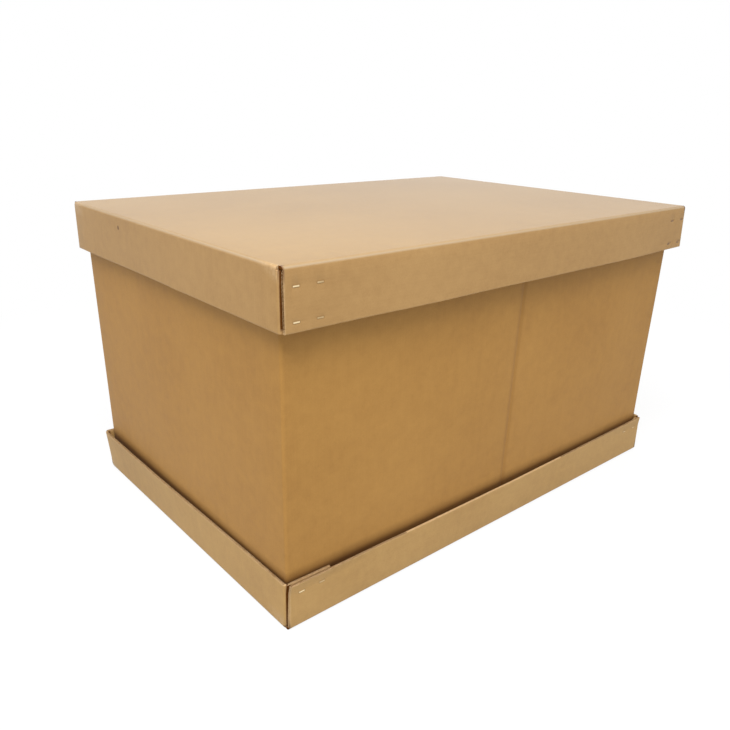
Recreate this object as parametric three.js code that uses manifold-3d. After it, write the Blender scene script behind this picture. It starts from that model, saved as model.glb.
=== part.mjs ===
// Three-piece bulk box in corrugated board: a base tray, a tube sleeve and a telescoping lid.
// Each tray is one folded sheet. Its corner tabs turn inside the long flanges and are stitched there with wire.
// The sleeve is one sheet folded to a tube, with a lap joint at the back right corner.
// Millimetres, +Z up. The origin is at the centre of the footprint, on the floor.
// Left and right are -X and +X, front and back are -Y and +Y.

import * as THREE from 'three';
import { mergeVertices } from 'three/addons/utils/BufferGeometryUtils.js';
import Module from 'manifold-3d';

// Board and folds
const board = 5;
const foldInside = 1;
const foldOutside = board + foldInside;
const foldSteps = 6;
const bendSteps = 2;
const seatGap = 0.3;

// Sleeve: outside size at its foot, and how far each wall stands further out at its head
const sleeveLength = 1154;
const sleeveWidth = 770;
const sleeveHeight = 657.5;
const headSpread = 9;
const lapLength = 50;
const lapGap = 0.4;
const lapEdgeSetback = 3;

// Knock-down creases down the middle of the long walls
const creaseFootX = 10;
const creaseSlant = 8;
const creaseWidth = 8;
const creaseDepth = 1;

// Base tray, round the foot of the sleeve
const baseFlange = 98;
const baseEndClearance = 5;
const baseSideClearance = 3;
const baseTabGap = 2;

// Lid, round the head of the sleeve
const lidFlange = 104;
const lidEndClearance = 9;
const lidSideClearance = 15;
const lidTabGap = 1;

// Corner tabs of both trays, and the slot that each leaves beside the end of the long flange
const tabLength = 100;
const tabLift = 1.5;
const baseTabProud = 1.5;
const lidTabProud = 0;
const baseSlotAtFold = 2.6;
const baseSlotAtEdge = 7.3;
const lidSlotAtFold = 4.8;
const lidSlotAtEdge = 6.2;

// Wire stitches: flat wire, crown outside, legs through both boards and clinched inside
const crownLength = 12.5;
const wireWidth = 2.4;
const wireThickness = 0.9;
const wireBend = 1.3;
const clinchLength = 5;
const crownProud = 0.3;
const wireClearance = 0.3;

// Stitch places on a tray: distance in from the left and the right corner, and height from the panel
const stitchPitch = 45;
const lidStitchInLeft = 28;
const lidStitchInRight = 15;
const lidStitchRows = [32, 88];
const baseStitchInLeft = 32;
const baseStitchInRight = 32;
const baseStitchRows = [72];
const stitchesInRow = 2;

// Stitches down the sleeve's lap joint
const lapStitches = 8;
const lapStitchEnd = 60;

// Sizes that follow from the sleeve
const headLength = sleeveLength + 2 * headSpread;
const headWidth = sleeveWidth + 2 * headSpread;
const sleeveFootZ = board + seatGap;
const lidUndersideZ = sleeveFootZ + sleeveHeight + seatGap;
const lidTopZ = lidUndersideZ + board;

const baseTray = {
  length: sleeveLength + 2 * (baseEndClearance + board),
  width: sleeveWidth + 2 * (baseSideClearance + 2 * board + baseTabGap),
  flange: baseFlange,
  tabGap: baseTabGap,
  tabProud: baseTabProud,
  slotAtFold: baseSlotAtFold,
  slotAtEdge: baseSlotAtEdge,
  stitchIn: { left: baseStitchInLeft, right: baseStitchInRight },
  stitchRows: baseStitchRows,
};

const lidTray = {
  length: headLength + 2 * (lidEndClearance + board),
  width: headWidth + 2 * (lidSideClearance + 2 * board + lidTabGap),
  flange: lidFlange,
  tabGap: lidTabGap,
  tabProud: lidTabProud,
  slotAtFold: lidSlotAtFold,
  slotAtEdge: lidSlotAtEdge,
  stitchIn: { left: lidStitchInLeft, right: lidStitchInRight },
  stitchRows: lidStitchRows,
};

const wasm = await Module();
wasm.setup();

const kraft = new THREE.MeshStandardMaterial({
  color: 0xb8905c,
  roughness: 0.9,
  metalness: 0,
  flatShading: true,
});
const steelWire = new THREE.MeshStandardMaterial({
  color: 0xd8c6a4,
  roughness: 0.35,
  metalness: 0.9,
  flatShading: true,
});

function toSolid(geometry) {
  const bare = geometry.clone();
  bare.deleteAttribute('normal');
  bare.deleteAttribute('uv');
  const welded = mergeVertices(bare);
  const mesh = new wasm.Mesh({
    numProp: 3,
    vertProperties: Float32Array.from(welded.attributes.position.array),
    triVerts: Uint32Array.from(welded.index.array),
  });
  return new wasm.Manifold(mesh);
}

function toGeometry(solid) {
  const mesh = solid.getMesh();
  const geometry = new THREE.BufferGeometry();
  geometry.setAttribute('position', new THREE.BufferAttribute(Float32Array.from(mesh.vertProperties), 3));
  geometry.setIndex(new THREE.BufferAttribute(Uint32Array.from(mesh.triVerts), 1));
  geometry.computeVertexNormals();
  return geometry;
}

// An arc of a shape is drawn with twice its curveSegments.
function extrude(shape, depth, arcSteps) {
  return new THREE.ExtrudeGeometry(shape, { depth, bevelEnabled: false, curveSegments: arcSteps / 2 });
}

// Moves each vertex of a geometry by a rule of its own place.
function reshape(geometry, rule) {
  const position = geometry.attributes.position;
  const point = new THREE.Vector3();
  for (let i = 0; i < position.count; i += 1) {
    point.fromBufferAttribute(position, i);
    rule(point);
    position.setXYZ(i, point.x, point.y, point.z);
  }
  return geometry;
}

// Section across a tray: the panel with a flange folded up at each side.
function traySection(width, height) {
  const half = width / 2;
  const quarter = Math.PI / 2;
  const shape = new THREE.Shape();
  shape.moveTo(-half, height);
  shape.lineTo(-half, foldOutside);
  shape.absarc(-half + foldOutside, foldOutside, foldOutside, Math.PI, Math.PI + quarter, false);
  shape.lineTo(half - foldOutside, 0);
  shape.absarc(half - foldOutside, foldOutside, foldOutside, -quarter, 0, false);
  shape.lineTo(half, height);
  shape.lineTo(half - board, height);
  shape.lineTo(half - board, foldOutside);
  shape.absarc(half - foldOutside, foldOutside, foldInside, 0, -quarter, true);
  shape.lineTo(-half + foldOutside, board);
  shape.absarc(-half + foldOutside, foldOutside, foldInside, -quarter, -Math.PI, true);
  shape.lineTo(-half + board, height);
  shape.closePath();
  return shape;
}

// Panel and long flanges, whose raw ends stop short of the corners and slant along the slots.
function longFold(tray) {
  const section = traySection(tray.width, tray.flange);
  const geometry = extrude(section, 1, foldSteps);
  geometry.applyMatrix4(new THREE.Matrix4().makeBasis(
    new THREE.Vector3(0, 1, 0),
    new THREE.Vector3(0, 0, 1),
    new THREE.Vector3(1, 0, 0),
  ));
  const slant = (tray.slotAtEdge - tray.slotAtFold) / tray.flange;
  reshape(geometry, (point) => {
    const end = tray.length / 2 - tray.slotAtFold - slant * point.z;
    point.x = point.x > 0.5 ? end : -end;
  });
  return toSolid(geometry);
}

// Panel and short flanges, up to where the corner tabs begin to turn.
function shortFold(tray) {
  const section = traySection(tray.length, tray.flange + tray.tabProud);
  const span = tray.width - 2 * (board + tray.tabGap + foldOutside);
  const geometry = extrude(section, span, foldSteps);
  geometry.translate(0, 0, -span / 2);
  geometry.applyMatrix4(new THREE.Matrix4().makeBasis(
    new THREE.Vector3(1, 0, 0),
    new THREE.Vector3(0, 0, 1),
    new THREE.Vector3(0, -1, 0),
  ));
  return toSolid(geometry);
}

// One corner tab: it leaves the short flange, turns the corner and runs inside the long flange.
function cornerTab(tray, sideX, sideY) {
  const endX = tray.length / 2;
  const tabY = tray.width / 2 - board - tray.tabGap;
  const turnX = endX - foldOutside;
  const turnY = tabY - foldOutside;
  const tabEndX = endX - tabLength;
  const quarter = Math.PI / 2;
  const shape = new THREE.Shape();
  shape.moveTo(endX, turnY - foldOutside);
  shape.lineTo(endX, turnY);
  shape.absarc(turnX, turnY, foldOutside, 0, quarter, false);
  shape.lineTo(tabEndX, tabY);
  shape.lineTo(tabEndX, tabY - board);
  shape.lineTo(turnX, tabY - board);
  shape.absarc(turnX, turnY, foldInside, quarter, 0, true);
  shape.lineTo(endX - board, turnY - foldOutside);
  shape.closePath();
  const side = new THREE.Vector2(sideX, sideY);
  const plan = new THREE.Shape(shape.getPoints(foldSteps / 2).map((point) => point.multiply(side)));
  const lowZ = board + tabLift;
  const geometry = extrude(plan, tray.flange + tray.tabProud - lowZ, foldSteps);
  geometry.translate(0, 0, lowZ);
  return toSolid(geometry);
}

// Side outline of a wire stitch: x along its crown, y into the boards from their outer face.
function stitchOutline(stack) {
  const half = crownLength / 2;
  const top = -crownProud;
  const bottom = stack + wireClearance + wireThickness;
  const insideBend = wireBend - wireThickness;
  const turn = half - wireBend;
  const quarter = Math.PI / 2;
  const shape = new THREE.Shape();
  shape.moveTo(-turn, top);
  shape.lineTo(turn, top);
  shape.absarc(turn, top + wireBend, wireBend, -quarter, 0, false);
  shape.lineTo(half, bottom - wireBend);
  shape.absarc(turn, bottom - wireBend, wireBend, 0, quarter, false);
  shape.lineTo(half - clinchLength, bottom);
  shape.lineTo(half - clinchLength, bottom - wireThickness);
  shape.lineTo(turn, bottom - wireThickness);
  shape.absarc(turn, bottom - wireBend, insideBend, quarter, 0, true);
  shape.lineTo(half - wireThickness, top + wireBend);
  shape.absarc(turn, top + wireBend, insideBend, 0, -quarter, true);
  shape.lineTo(-turn, top + wireThickness);
  shape.absarc(-turn, top + wireBend, insideBend, -quarter, -Math.PI, true);
  shape.lineTo(-half + wireThickness, bottom - wireBend);
  shape.absarc(-turn, bottom - wireBend, insideBend, Math.PI, quarter, true);
  shape.lineTo(-half + clinchLength, bottom - wireThickness);
  shape.lineTo(-half + clinchLength, bottom);
  shape.lineTo(-turn, bottom);
  shape.absarc(-turn, bottom - wireBend, wireBend, quarter, Math.PI, false);
  shape.lineTo(-half, top + wireBend);
  shape.absarc(-turn, top + wireBend, wireBend, Math.PI, Math.PI + quarter, false);
  return shape;
}

function stitchGeometry(stack) {
  const geometry = extrude(stitchOutline(stack), wireWidth, bendSteps);
  geometry.translate(0, 0, -wireWidth / 2);
  return toGeometry(toSolid(geometry));
}

// The pressed groove under a crown and the two slits for the legs, to be cut from the boards.
function stitchSeat(stack) {
  const wide = wireWidth + 2 * wireClearance;
  const grooveDepth = wireThickness - crownProud + wireClearance;
  const grooveLength = crownLength + 2 * wireClearance;
  const groove = new THREE.BoxGeometry(grooveLength, 2 * grooveDepth, wide);
  let seat = toSolid(groove);
  const slitThickness = wireThickness + 2 * wireClearance;
  const through = stack + 1;
  for (const side of [-1, 1]) {
    const slit = new THREE.BoxGeometry(slitThickness, through, wide);
    const slitX = side * (crownLength - wireThickness) / 2;
    slit.translate(slitX, through / 2, 0);
    seat = seat.add(toSolid(slit));
  }
  return toGeometry(seat);
}

function placedStitch(name, stack, place, turn) {
  const mesh = new THREE.Mesh(stitchGeometry(stack), steelWire);
  mesh.name = name;
  mesh.position.copy(place);
  mesh.rotation.copy(turn);
  mesh.updateMatrix();
  return mesh;
}

function cutSeats(solid, stitches, stack) {
  const seat = stitchSeat(stack);
  let result = solid;
  for (const stitch of stitches) {
    result = result.subtract(toSolid(seat.clone().applyMatrix4(stitch.matrix)));
  }
  return result;
}

// All stitches of one tray, in the tray's own frame. A lid is turned over, so its front is at local +Y.
function trayStitches(prefix, tray, turnedOver) {
  const stack = 2 * board + tray.tabGap;
  const stitches = [];
  for (const face of ['front', 'back']) {
    const outward = (face === 'front') === turnedOver ? 1 : -1;
    for (const end of ['left', 'right']) {
      const sideX = end === 'left' ? -1 : 1;
      let number = 0;
      for (const rowZ of tray.stitchRows) {
        for (let column = 0; column < stitchesInRow; column += 1) {
          number += 1;
          const fromCorner = tray.stitchIn[end] + column * stitchPitch;
          const place = new THREE.Vector3(
            sideX * (tray.length / 2 - fromCorner),
            outward * tray.width / 2,
            rowZ,
          );
          const turn = new THREE.Euler(0, 0, outward > 0 ? Math.PI : 0);
          stitches.push(placedStitch(`${prefix}_staple_${face}_${end}_${number}`, stack, place, turn));
        }
      }
    }
  }
  return stitches;
}

// A whole tray: one folded sheet with its stitches, panel down at z = 0.
function trayGroup(name, prefix, tray, turnedOver) {
  const stitches = trayStitches(prefix, tray, turnedOver);
  let sheet = longFold(tray).add(shortFold(tray));
  for (const sideX of [-1, 1]) {
    for (const sideY of [-1, 1]) {
      sheet = sheet.add(cornerTab(tray, sideX, sideY));
    }
  }
  sheet = cutSeats(sheet, stitches, 2 * board + tray.tabGap);
  const mesh = new THREE.Mesh(toGeometry(sheet), kraft);
  mesh.name = name;
  const group = new THREE.Group();
  group.add(mesh, ...stitches);
  return group;
}

// Pairs of outer and inner points round one rounded corner fold of the sleeve.
function sleeveFold(centreX, centreY, startAngle) {
  const pairs = [];
  for (let i = 0; i <= foldSteps; i += 1) {
    const angle = startAngle - (i / foldSteps) * (Math.PI / 2);
    const out = new THREE.Vector2(Math.cos(angle), Math.sin(angle));
    const centre = new THREE.Vector2(centreX, centreY);
    pairs.push({
      outer: centre.clone().addScaledVector(out, foldOutside),
      inner: centre.clone().addScaledVector(out, foldInside),
    });
  }
  return pairs;
}

// Pairs of points across a pressed crease in a long wall. Travel is towards -X in front, +X at the back.
function sleeveCrease(sideY) {
  const outerY = sideY * sleeveWidth / 2;
  const innerY = outerY - sideY * board;
  return [-1, 0, 1].map((step) => {
    const x = creaseFootX + step * sideY * creaseWidth / 2;
    const dip = step === 0 ? sideY * creaseDepth : 0;
    return { outer: new THREE.Vector2(x, outerY - dip), inner: new THREE.Vector2(x, innerY - dip) };
  });
}

// Plan of the sleeve at its foot, from the tip of the inner lap round to the raw edge that covers it.
function sleevePlan() {
  const halfX = sleeveLength / 2;
  const halfY = sleeveWidth / 2;
  const lapY = halfY - board - lapGap;
  const foldX = halfX - foldOutside;
  const foldY = halfY - foldOutside;
  const lapTipX = halfX - lapLength;
  const edgeX = halfX - lapEdgeSetback;
  const pairs = [
    { outer: new THREE.Vector2(lapTipX, lapY), inner: new THREE.Vector2(lapTipX, lapY - board) },
    ...sleeveFold(foldX, lapY - foldOutside, Math.PI / 2),
    ...sleeveFold(foldX, -foldY, 0),
    ...sleeveCrease(-1),
    ...sleeveFold(-foldX, -foldY, -Math.PI / 2),
    ...sleeveFold(-foldX, foldY, Math.PI),
    ...sleeveCrease(1),
    { outer: new THREE.Vector2(edgeX, halfY), inner: new THREE.Vector2(edgeX, halfY - board) },
  ];
  const outer = pairs.map((pair) => pair.outer);
  const inner = pairs.map((pair) => pair.inner).reverse();
  return new THREE.Shape([...outer, ...inner]);
}

// Leans the walls out towards the head, and slants the creases.
function leanOut(point) {
  const rise = point.z / sleeveHeight;
  const nearCrease = Math.abs(point.x - creaseFootX) <= creaseWidth;
  point.x += rise * (nearCrease ? creaseSlant : headSpread * Math.sign(point.x));
  point.y += rise * headSpread * Math.sign(point.y);
}

function sleeveStitches(stack) {
  const lean = -Math.atan(headSpread / sleeveHeight);
  const pitch = (sleeveHeight - 2 * lapStitchEnd) / (lapStitches - 1);
  const stitches = [];
  for (let i = 0; i < lapStitches; i += 1) {
    const height = lapStitchEnd + i * pitch;
    const out = headSpread * height / sleeveHeight;
    const place = new THREE.Vector3(
      (sleeveLength - lapLength) / 2 + out,
      sleeveWidth / 2 + out,
      height,
    );
    const turn = new THREE.Euler(lean, 0, Math.PI);
    stitches.push(placedStitch(`sleeve_staple_${i + 1}`, stack, place, turn));
  }
  return stitches;
}

function sleeveGroup() {
  const stack = 2 * board + lapGap;
  const stitches = sleeveStitches(stack);
  const tube = reshape(extrude(sleevePlan(), sleeveHeight, foldSteps), leanOut);
  const sheet = cutSeats(toSolid(tube), stitches, stack);
  const mesh = new THREE.Mesh(toGeometry(sheet), kraft);
  mesh.name = 'sleeve';
  const group = new THREE.Group();
  group.add(mesh, ...stitches);
  return group;
}

const bulkBox = new THREE.Group();

const base = trayGroup('base_tray', 'base', baseTray, false);
bulkBox.add(base);

const sleeve = sleeveGroup();
sleeve.position.z = sleeveFootZ;
bulkBox.add(sleeve);

const lid = trayGroup('lid', 'lid', lidTray, true);
lid.rotation.x = Math.PI;
lid.position.z = lidTopZ;
bulkBox.add(lid);

export default bulkBox;
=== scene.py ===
"""Bulk pallet box in kraft corrugated board: a stitched base tray, a tube sleeve and a lift-off lid."""

import math

import bmesh
import bpy
from mathutils import Matrix, Vector, noise


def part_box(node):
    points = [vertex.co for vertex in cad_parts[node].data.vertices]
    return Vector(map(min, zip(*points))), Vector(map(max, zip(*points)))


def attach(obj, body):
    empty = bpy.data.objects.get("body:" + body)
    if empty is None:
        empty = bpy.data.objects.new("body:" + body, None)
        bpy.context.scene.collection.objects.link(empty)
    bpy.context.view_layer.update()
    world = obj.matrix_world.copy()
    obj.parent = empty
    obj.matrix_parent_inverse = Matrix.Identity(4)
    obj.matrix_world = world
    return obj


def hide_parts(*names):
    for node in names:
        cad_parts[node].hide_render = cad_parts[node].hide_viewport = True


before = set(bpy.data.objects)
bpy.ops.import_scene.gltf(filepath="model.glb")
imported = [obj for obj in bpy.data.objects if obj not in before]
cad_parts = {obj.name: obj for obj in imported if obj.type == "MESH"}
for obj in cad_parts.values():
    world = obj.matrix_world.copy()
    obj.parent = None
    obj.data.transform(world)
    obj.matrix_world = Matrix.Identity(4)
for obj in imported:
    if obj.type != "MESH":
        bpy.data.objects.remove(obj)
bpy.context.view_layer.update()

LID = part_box("lid")
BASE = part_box("base_tray")
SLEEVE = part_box("sleeve")

# Lengths are in metres. Board and folds, as in the CAD part
BOARD = 0.005
FOLD_OUTSIDE = 0.006
FOLD_STEPS = 6
TAB_LENGTH = 0.100
TAB_LIFT = 0.0015

# Papers of the double wall board, as seen in a raw edge: place across the board and swing, as shares of its
# thickness, then pitch and steps a pitch
FINE_FLUTE = (0.24, 0.13, 0.0033, 6)
MIDDLE_LINER = (0.405, 0.01, 0.05, 4)
COARSE_FLUTE = (0.67, 0.22, 0.0063, 8)
PAPER = 0.0004

# Raw edges: width of the liners' rims, how far the flutes lie back, how deep the edge is open, how far flutes
# stop short of a corner, the shortest run that gets them, and the bend that ends a run
LINER_LIP = 0.0002
EDGE_RECESS = 0.0001
CRUSHED_DEPTH = 0.0030
RIBBON_MARGIN = 0.0015
SHORT_RUN = 0.040
STRAIGHT = math.radians(12)
CUT_ROUNDING = 0.0005
CUT_CORNER = math.radians(60)
SMOOTH_BELOW = math.radians(35)

# Material slots of a board; the liner is slot 0
RAW_SLOT = 1
SHADE_SLOT = 2
# The lid's top panel takes a lit copy of its liner, with a painted sheen
LIT_TOP_SLOT = 3

# Camera: where the photograph was taken from
CAMERA_PLACE = (-1.1624, -1.2655, 0.8932)
CAMERA_AZIMUTH = -40.711
CAMERA_ELEVATION = 20.271
CAMERA_ROLL = 1.193
CAMERA_LENS = 35.14
SENSOR = 36.0

# The floor as seen and as it throws light back, the distance from which it turns whiter, the least share of
# pure white in it, and the strength of the even light all round
FLOOR_PALE = (0.92, 0.92, 0.92, 1)
FLOOR_BOUNCE = (0.50, 0.50, 0.50, 1)
FLOOR_NEAR = 1.0
FLOOR_GLOW = 0.86
WORLD_FILL = 0.66

# Lights: place, target, size, power
KEY_LIGHT = ((-1.22, -1.12, 3.0), (0, 0, 0.4), 1.8, 104)
BACK_LIGHT = ((2.3, 2.3, 0.95), (0, 0, 0.3), 1.2, 34)

# Colours, scene linear
LID_LINER = (0.445, 0.260, 0.096, 1)
# Lit copy of the lid's liner for its top panel: darker, but with the painted sheen of its finish it reads
# paler
LID_TOP_LIT_COPY = (0.338, 0.200, 0.066, 1)
SLEEVE_LINER = (0.440, 0.225, 0.053, 1)
# The base tray's liner is paler than the lid's: partly its own paper, partly painted bounce light from the
# floor
BASE_LINER = (0.502, 0.304, 0.109, 1)
SCUFFED = (0.62, 0.44, 0.25, 1)
# Pale rub along the folds, partly a painted sheen on their turn
RUBBED_AND_SHEEN = (0.40, 0.30, 0.19, 1)
# Painted shade along the sleeve's creases
CREASE_SHADE = (0.24, 0.10, 0.018, 1)
CUT_PALE = (0.60, 0.42, 0.23, 1)
CUT_DARK = (0.38, 0.22, 0.09, 1)
# Painted shade in the slots, round the stitches and at the sleeve's foot; the lid's blemish, a real spot,
# takes the same brown
PAINTED_SHADE_AND_BLEMISH = (0.090, 0.030, 0.007, 1)
# Painted shade for the folds deep in the slots and the lid's raw ends there
SLOT_SHADE_DARK = (0.080, 0.024, 0.004, 1)
SLOT_SHADE_PALE = (0.150, 0.055, 0.010, 1)
SPECK = (0.20, 0.11, 0.045, 1)
LINER_SHADES = ((0.1, (0.30, 0.25, 0.20, 1)), (0.5, (0.5, 0.5, 0.5, 1)), (0.9, (0.66, 0.70, 0.78, 1)))
WHITE = (1, 1, 1, 1)
# Copies of one wire with painted light: a painted glint, painted half shade and painted shade
GLINT_WIRE = ((0.80, 0.62, 0.34, 1), (0.98, 0.82, 0.52, 1))
HALF_SHADED_WIRE = ((0.46, 0.32, 0.15, 1), (0.80, 0.61, 0.34, 1))
SHADED_WIRE = ((0.11, 0.050, 0.018, 1), (0.26, 0.135, 0.05, 1))

# Liners: pale rub of the folds with painted sheen, sheen and gloss
LID_FINISH = (0.85, 0.15, 0.3)
LID_TOP_LIT_COPY_FINISH = (0.5, 0.50, 0.5)
SLEEVE_FINISH = (0.12, 0.05, 0.3)
BASE_FINISH = (0.3, 0.06, 0.3)

# The coarse flute prints through the liner as a faint washboard
FLUTE_PITCH = 0.0063
WASHBOARD = 0.1

# Stitches: the names they start with, the rim and the depth of the dent round each
STITCHES = {"lid": "lid_staple", "base_tray": "base_staple"}
# Stitches that take the painted glint, and those at the lid's right end that take painted shade; the rest
# take painted half shade
GLINTING_STITCHES = ("lid_staple_front_left_1", "lid_staple_front_left_3", "base_staple_front_left_1")
SHADED_STITCHES = "lid_staple_front_right"
STITCH_RIM = 0.0008
STITCH_DENT = 0.0002

# How far the folded boards have sprung, sagged, leaned and slackened, after the photograph
LID_SPRING = 0.007
LID_LIFT = 0.0035
LID_SPRUNG_LENGTH = 0.25
LID_SAG = 0.0016
LID_SLACK = 0.0024
BASE_LEAN = 0.010
BASE_TUCK = 0.004
BASE_TUCK_LENGTH = 0.2
BASE_GAPE = 0.0022
BASE_GAPE_FROM = 0.76
BASE_END_SLACK = 0.0012
BASE_SLACK = 0.0020

# How much lower the base tray's upper edge lies than in the CAD: at the near corner, at the right end of the
# near side, at the far sides, and besides in the middle. It sinks above this share of the flange's height.
BASE_LOW_NEAR = 0.0065
BASE_LOW_RIGHT = 0.003
BASE_LOW_FAR = 0.001
BASE_LOW_MIDDLE = 0.0065
BASE_LOW_FROM = 0.8

# The tabs at the right end lie lower still. Their distance from the side tells them from the flanges.
TAB_DROP = 0.008
TAB_DROP_REACH = (0.002, 0.02)
TAB_PLACE = (0.003, 0.009)

# Stitches hold a long flange up to the first distance from its end, and from the second on it is free.
# A point this near to an end or to a long side belongs to the flange or wall there.
STITCHED_REACH = (0.09, 0.22)
NEAR_END = 0.002
NEAR_LONG_SIDE = 0.008

# Unevenness of the boards: swing, length of the waves, seed
LID_WAVE = (0.0010, 0.16, 3.1)
LID_SMALL_WAVE = (0.0005, 0.045, 1.3)
LID_END_WAVE = (0.0018, 0.22, 7.7)
LID_SIDE_WAVE = (0.0014, 0.2, 9.2)
BASE_WAVE = (0.0007, 0.14, 5.3)
BASE_SMALL_WAVE = (0.0003, 0.04, 2.9)
BASE_END_WAVE = (0.0010, 0.2, 2.2)
BASE_SIDE_WAVE = (0.0012, 0.17, 4.4)
SLEEVE_SIDE_WAVE = (0.0012, 0.25, 6.1)
SLEEVE_END_WAVE = (0.0010, 0.25, 8.4)

# The sleeve at its foot, the lap at its joint, its slanting knock-down creases and the slack of its walls
FOOT_HALF_X = 0.577
FOOT_HALF_Y = 0.385
LAP_LENGTH = 0.050
LAP_GAP = 0.0004
LAP_EDGE = 0.003
CREASE_X = 0.010
CREASE_SLANT = 0.008
CREASE_SHARE = 0.2
CREASE_DEPTH = 0.0011
CREASE_HALF = 0.006
SLEEVE_SLACK = 0.0020
PANEL_HALF = 0.28

# Where the sleeve takes painted shade as it goes down into the base tray
FOOT_DARK_LOW = BASE[1].z - 0.012
FOOT_DARK_HIGH = BASE[1].z + 0.014

# Distances from a tray's end and from its free edge where its skin is cut, besides even steps
END_CUTS = (0.009, 0.014, 0.03, 0.055, 0.08, 0.1, 0.13)
EDGE_CUTS = (0.003, 0.0085)
CREASE_CUTS = (0.002, 0.005, 0.012, 0.030)

# Marks of wear and painted shade: how deep the painted shade mark must be for a slot's face to take the
# slots' painted shade material, reach of the slot's painted shade from the end and to both sides of its fold,
# raw ends that take painted shade from here up, short edges, and how level a face of the lid's lit top copy
# lies
DEEP_MARK = 0.58
SLOT_REACH = 0.010
SLOT_BAND = (0.0011, 0.0005)
SHADED_ENDS_ABOVE = LID[0].z + 0.007
SHORT_EDGE = 0.0012
LEVEL = 0.75

# A dark spot pressed into the left face of the lid, and the width of its rim
BLEMISH_PLACE = (-0.600, 0.167, 0.643)
BLEMISH_REACH = 0.007
BLEMISH_RIM = 0.0025
BLEMISH_UNEVEN = 0.003

# The two trays. The slots widen from fold to free edge. On the lid, the painted shade in the slots stops
# short of the free edge, and the raw ends facing along it take painted shade.
TRAYS = {
    "base_tray": {
        "tab_gap": 0.002, "tab_proud": 0.0015, "slot_at_fold": 0.0026, "slot_at_edge": 0.0073,
        "flange": 0.098, "end_depth": 0.0006, "shaded_flange_ends": False,
    },
    "lid": {
        "tab_gap": 0.001, "tab_proud": 0.0, "slot_at_fold": 0.0048, "slot_at_edge": 0.0062,
        "flange": 0.104, "end_depth": 0.0025, "shaded_flange_ends": True,
    },
}


def deselect_all():
    for thing in bpy.context.selected_objects:
        thing.select_set(False)


def make_active(piece):
    deselect_all()
    bpy.context.view_layer.objects.active = piece
    piece.select_set(True)


def start_edit(piece, mode="EDGE"):
    make_active(piece)
    bpy.ops.object.mode_set(mode="EDIT")
    bpy.ops.mesh.select_mode(type=mode)
    bpy.ops.mesh.select_all(action="DESELECT")


def end_edit():
    bpy.ops.object.mode_set(mode="OBJECT")


def pick(piece, kind, rule):
    """Selects the edges or faces of the mesh in edit mode whose middle and vertices meet a rule."""
    bpy.ops.mesh.select_all(action="DESELECT")
    mesh = bmesh.from_edit_mesh(piece.data)
    elements = mesh.edges if kind == "EDGE" else mesh.faces
    found = 0
    for element in elements:
        if rule(element):
            element.select_set(True)
            found += 1
    bmesh.update_edit_mesh(piece.data)
    return found


def near(a, b, slack=2e-4):
    """True for two places that are the same within the slack."""
    return abs(a - b) < slack


def on_line(edge, **place):
    """True if both ends of an edge lie at the given x, y or z; abs_x and abs_y compare sizes."""
    for vertex in edge.verts:
        for key, value in place.items():
            found = getattr(vertex.co, key[-1])
            if key.startswith("abs_"):
                found = abs(found)
            if not near(found, value):
                return False
    return True


def slice_mesh(axis, places):
    """Cuts the whole mesh in edit mode with planes across an axis."""
    normal = [0, 0, 0]
    normal["xyz".index(axis)] = 1
    for place in places:
        bpy.ops.mesh.select_all(action="SELECT")
        bpy.ops.mesh.bisect(plane_co=[place * part for part in normal], plane_no=normal, threshold=1e-5)


def merge_close_points():
    bpy.ops.mesh.select_all(action="SELECT")
    bpy.ops.mesh.remove_doubles(threshold=0.0004)


def pull(offset):
    bpy.ops.mesh.extrude_region_move(TRANSFORM_OT_translate={"value": offset})


def spread(low, high, count):
    """Places at even steps between two ends, without the ends themselves."""
    return [low + (high - low) * (i + 1) / (count + 1) for i in range(count)]


def stitch_cuts(node, boxes):
    """Where a tray's skin is cut across X and Z to frame each stitch, in the sheet's own frame."""
    rims = (-2 * STITCH_RIM, -STITCH_RIM)
    cuts = {"x": set(), "z": set()}
    for low, high in boxes:
        for rim in rims:
            cuts["x"] |= {round(low.x + rim, 5), round(high.x - rim, 5)}
            heights = (low.z + rim, high.z - rim)
            cuts["z"] |= {round(LID[1].z - h if node == "lid" else h, 5) for h in heights}
    return cuts


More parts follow.
